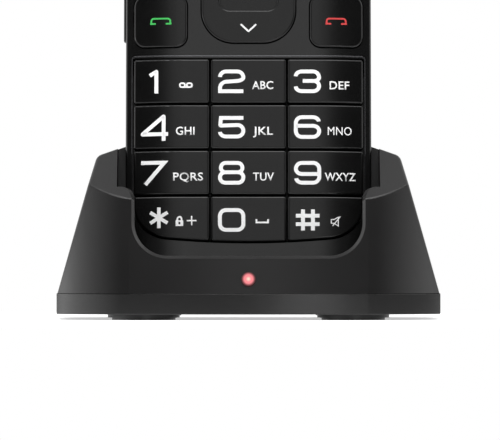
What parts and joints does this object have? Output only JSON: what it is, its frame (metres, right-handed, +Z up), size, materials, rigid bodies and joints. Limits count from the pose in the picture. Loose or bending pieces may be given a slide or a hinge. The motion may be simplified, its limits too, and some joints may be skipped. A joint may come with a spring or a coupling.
{
  "type": "flip phone in charging dock",
  "caption": "Folding keypad phone standing open in a desktop charging dock with a status light; lid, keys, rockers, back cover and contact pins move.",
  "frame": {"origin": "on the table under the dock, in the middle between its four rubber feet; metres", "axes": "+X to the right seen from the front, +Y away from the viewer towards the dock's back, +Z up"},
  "size_m": [0.0808, 0.0598, 0.1727],
  "materials": {
    "casing_black": "gloss black moulded casing",
    "keypad_frame": "gloss black frame round the keys",
    "key_graphite": "dark graphite metal keys with white marks",
    "dock_black": "black moulded plastic, satin",
    "foot_rubber": "matt black rubber",
    "lens": "smoked clear window",
    "display": "dark display glass",
    "status_lens": "clear red light pipe, lit",
    "steel": "bright steel",
    "gold": "gold plated contact",
    "circuit_board": "green circuit board",
    "socket_metal": "plated socket shell",
    "dark_plastic": "black plastic",
    "mat_rubber": "grey silicone mat",
    "cell": "dark wrapped battery",
    "ballast": "plain iron weights"
  },
  "bodies": {
    "dock": {"dock_shell": "dock_black", "dock_base_plate": "dock_black", "rubber_feet": "foot_rubber", "dock_ballast": "ballast", "dock_screws": "steel", "dock_circuit_board": "circuit_board", "dock_power_socket": "socket_metal", "contact_holder": "dark_plastic", "dock_status_light": "status_lens", "contact_spring_left": "steel", "contact_spring_right": "steel"},
    "phone_base": {"base_front_cover": "keypad_frame", "base_rear_cover": "casing_black", "battery": "cell", "base_screws": "steel", "main_board": "circuit_board", "dome_sheet": "steel", "keypad_mat": "mat_rubber", "usb_socket": "socket_metal", "charging_contacts": "gold", "loudspeaker": "dark_plastic", "vibration_motor": "steel", "sim_holder": "steel", "microphone": "mat_rubber", "hinge_pin": "steel"},
    "back_cover": {"battery_cover": "casing_black"},
    "lid": {"lid_inner_cover": "casing_black", "lid_outer_cover": "casing_black", "main_display_window": "lens", "main_display_panel": "display", "outer_display_window": "lens", "outer_display_panel": "display", "camera_window": "lens", "camera_module": "dark_plastic", "lid_board": "circuit_board", "earpiece": "dark_plastic", "lid_bumpers": "foot_rubber", "lid_screws": "steel", "hinge_cartridge": "steel"},
    "arrow_button": {"arrow_rocker": "key_graphite"},
    "volume_button": {"volume_rocker": "casing_black"},
    "pin_left": {"contact_pin_left": "gold"},
    "pin_right": {"contact_pin_right": "gold"},
    "key_1_body": {"key_1": "key_graphite"},
    "key_2_body": {"key_2": "key_graphite"},
    "key_3_body": {"key_3": "key_graphite"},
    "key_4_body": {"key_4": "key_graphite"},
    "key_5_body": {"key_5": "key_graphite"},
    "key_6_body": {"key_6": "key_graphite"},
    "key_7_body": {"key_7": "key_graphite"},
    "key_8_body": {"key_8": "key_graphite"},
    "key_9_body": {"key_9": "key_graphite"},
    "key_star_body": {"key_star": "key_graphite"},
    "key_0_body": {"key_0": "key_graphite"},
    "key_hash_body": {"key_hash": "key_graphite"},
    "left_soft_key_body": {"left_soft_key": "key_graphite"},
    "right_soft_key_body": {"right_soft_key": "key_graphite"},
    "call_key_body": {"call_key": "key_graphite"},
    "end_key_body": {"end_key": "key_graphite"}
  },
  "joints": [
    {"name": "phone_lift", "type": "slide", "parent": "dock", "child": "phone_base", "axis": [0, 0.2079, 0.9781], "range_m": [0, 0.045]},
    {"name": "lid_hinge", "type": "hinge", "parent": "phone_base", "child": "lid", "pos_m": [0, 0.00189, 0.09096], "axis": [1, 0, 0], "range_deg": [0, 165]},
    {"name": "battery_cover_lift", "type": "slide", "parent": "phone_base", "child": "back_cover", "axis": [0, 0.9781, -0.2079], "range_m": [0, 0.012]},
    {"name": "key_1_press", "type": "slide", "parent": "phone_base", "child": "key_1_body", "axis": [0, 0.9781, -0.2079], "range_m": [0, 0.0004], "stiffness_N_per_m": 1800},
    {"name": "key_2_press", "type": "slide", "parent": "phone_base", "child": "key_2_body", "axis": [0, 0.9781, -0.2079], "range_m": [0, 0.0004], "stiffness_N_per_m": 1800},
    {"name": "key_3_press", "type": "slide", "parent": "phone_base", "child": "key_3_body", "axis": [0, 0.9781, -0.2079], "range_m": [0, 0.0004], "stiffness_N_per_m": 1800},
    {"name": "key_4_press", "type": "slide", "parent": "phone_base", "child": "key_4_body", "axis": [0, 0.9781, -0.2079], "range_m": [0, 0.0004], "stiffness_N_per_m": 1800},
    {"name": "key_5_press", "type": "slide", "parent": "phone_base", "child": "key_5_body", "axis": [0, 0.9781, -0.2079], "range_m": [0, 0.0004], "stiffness_N_per_m": 1800},
    {"name": "key_6_press", "type": "slide", "parent": "phone_base", "child": "key_6_body", "axis": [0, 0.9781, -0.2079], "range_m": [0, 0.0004], "stiffness_N_per_m": 1800},
    {"name": "key_7_press", "type": "slide", "parent": "phone_base", "child": "key_7_body", "axis": [0, 0.9781, -0.2079], "range_m": [0, 0.0004], "stiffness_N_per_m": 1800},
    {"name": "key_8_press", "type": "slide", "parent": "phone_base", "child": "key_8_body", "axis": [0, 0.9781, -0.2079], "range_m": [0, 0.0004], "stiffness_N_per_m": 1800},
    {"name": "key_9_press", "type": "slide", "parent": "phone_base", "child": "key_9_body", "axis": [0, 0.9781, -0.2079], "range_m": [0, 0.0004], "stiffness_N_per_m": 1800},
    {"name": "key_star_press", "type": "slide", "parent": "phone_base", "child": "key_star_body", "axis": [0, 0.9781, -0.2079], "range_m": [0, 0.0004], "stiffness_N_per_m": 1800},
    {"name": "key_0_press", "type": "slide", "parent": "phone_base", "child": "key_0_body", "axis": [0, 0.9781, -0.2079], "range_m": [0, 0.0004], "stiffness_N_per_m": 1800},
    {"name": "key_hash_press", "type": "slide", "parent": "phone_base", "child": "key_hash_body", "axis": [0, 0.9781, -0.2079], "range_m": [0, 0.0004], "stiffness_N_per_m": 1800},
    {"name": "left_soft_key_press", "type": "slide", "parent": "phone_base", "child": "left_soft_key_body", "axis": [0, 0.9781, -0.2079], "range_m": [0, 0.0004], "stiffness_N_per_m": 1800},
    {"name": "right_soft_key_press", "type": "slide", "parent": "phone_base", "child": "right_soft_key_body", "axis": [0, 0.9781, -0.2079], "range_m": [0, 0.0004], "stiffness_N_per_m": 1800},
    {"name": "call_key_press", "type": "slide", "parent": "phone_base", "child": "call_key_body", "axis": [0, 0.9781, -0.2079], "range_m": [0, 0.0004], "stiffness_N_per_m": 1800},
    {"name": "end_key_press", "type": "slide", "parent": "phone_base", "child": "end_key_body", "axis": [0, 0.9781, -0.2079], "range_m": [0, 0.0004], "stiffness_N_per_m": 1800},
    {"name": "arrow_rocker_tilt", "type": "hinge", "parent": "phone_base", "child": "arrow_button", "pos_m": [0, -0.00056, 0.06817], "axis": [1, 0, 0], "range_deg": [-2, 2], "stiffness_Nm_per_rad": 0.2},
    {"name": "volume_rocker_tilt", "type": "hinge", "parent": "phone_base", "child": "volume_button", "pos_m": [-0.0246, 0.00138, 0.06551], "axis": [0, 0.9781, -0.2079], "range_deg": [-1.5, 1.5], "stiffness_Nm_per_rad": 0.1},
    {"name": "contact_pin_left_press", "type": "slide", "parent": "dock", "child": "pin_left", "axis": [0, 0.2079, 0.9781], "range_m": [-0.0009, 0], "stiffness_N_per_m": 600, "deforming": ["contact_spring_left"]},
    {"name": "contact_pin_right_press", "type": "slide", "parent": "dock", "child": "pin_right", "axis": [0, 0.2079, 0.9781], "range_m": [-0.0009, 0], "stiffness_N_per_m": 600, "deforming": ["contact_spring_right"]}
  ]
}
